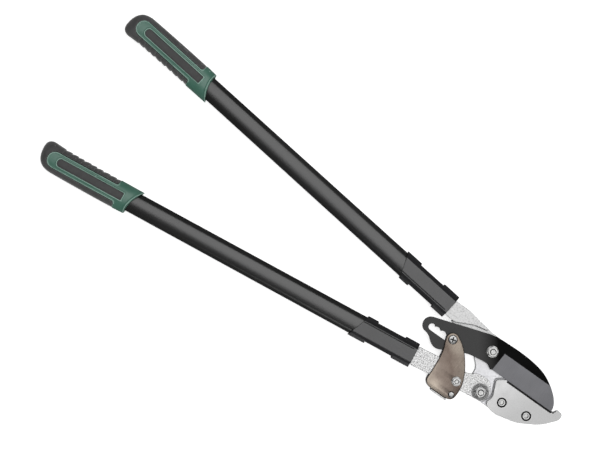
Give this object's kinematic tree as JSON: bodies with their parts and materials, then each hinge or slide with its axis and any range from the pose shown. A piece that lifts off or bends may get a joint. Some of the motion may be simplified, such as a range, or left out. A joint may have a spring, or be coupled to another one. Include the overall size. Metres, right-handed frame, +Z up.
{
  "type": "anvil pruner",
  "caption": "Two-handed ratchet anvil lopper with bypassing cast arms, flat blade, slotted ratchet link and long tubular handles with soft grips.",
  "frame": {"origin": "blade pivot axis, at the underside of the pivot bolt's head, in the plane that the tool lies on", "axes": "+X from the grips to the jaws, +Y from the anvil to the back of the blade, +Z up from the plane that the tool lies on"},
  "size_m": [0.7553, 0.2414, 0.028],
  "materials": {
    "black_tube": "satin",
    "black_plastic": "satin",
    "black_rubber": "matte",
    "green_plastic": "semi-gloss",
    "cast_metal": "die cast, satin",
    "forged_metal": "galvanised, rough",
    "anvil_metal": "satin",
    "blade_coat": "low-friction coat, satin",
    "bronze_plate": "bronze tint, satin",
    "zinc_steel": "zinc plated"
  },
  "bodies": {
    "anvil_side": {"anvil_arm": "cast_metal", "anvil": "anvil_metal", "anvil_screw_heel": "zinc_steel", "anvil_screw_tip": "zinc_steel", "blade_pivot_bolt": "zinc_steel", "blade_pivot_bush": "zinc_steel", "blade_pivot_washer": "zinc_steel", "blade_pivot_nut": "zinc_steel", "handle_pivot_bolt": "zinc_steel", "handle_pivot_washer": "zinc_steel", "handle_pivot_nut": "zinc_steel", "upper_tube": "black_tube", "upper_ferrule": "black_plastic", "upper_rivet_1": "zinc_steel", "upper_rivet_2": "zinc_steel", "upper_grip_core": "green_plastic", "upper_grip_cover": "black_rubber", "upper_grip_pad_front": "black_rubber", "upper_grip_pad_back": "black_rubber"},
    "handle_side": {"lower_arm": "forged_metal", "lower_tube": "black_tube", "lower_ferrule": "black_plastic", "lower_rivet_1": "zinc_steel", "lower_rivet_2": "zinc_steel", "lower_grip_core": "green_plastic", "lower_grip_cover": "black_rubber", "lower_grip_pad_front": "black_rubber", "lower_grip_pad_back": "black_rubber"},
    "link": {"link_front_plate": "bronze_plate", "link_back_plate": "zinc_steel", "ratchet_pin": "zinc_steel", "ratchet_pin_screw": "zinc_steel", "link_bolt": "zinc_steel", "link_bolt_washer": "zinc_steel", "link_bolt_nut": "zinc_steel", "spring_post": "zinc_steel", "ratchet_spring": "zinc_steel"},
    "blade": {"blade": "blade_coat"}
  },
  "joints": [
    {"name": "handle_hinge", "type": "hinge", "parent": "anvil_side", "child": "handle_side", "pos_m": [0.0173, -0.052, 0.014], "axis": [0, 0, 1], "range_deg": [0, 40]},
    {"name": "blade_hinge", "type": "hinge", "parent": "anvil_side", "child": "blade", "pos_m": [0, 0, 0.015], "axis": [0, 0, 1], "range_deg": [0, 32.1]},
    {"name": "link_hinge", "type": "hinge", "parent": "handle_side", "child": "link", "pos_m": [-0.0164, -0.0586, 0.014], "axis": [0, 0, 1], "range_deg": [-13.3, 0], "deforming": ["ratchet_spring"]}
  ],
  "couplings": [
    {"joint": "blade_hinge", "follows": "handle_hinge", "ratio": 0.8},
    {"joint": "link_hinge", "follows": "handle_hinge", "ratio": -0.33}
  ]
}
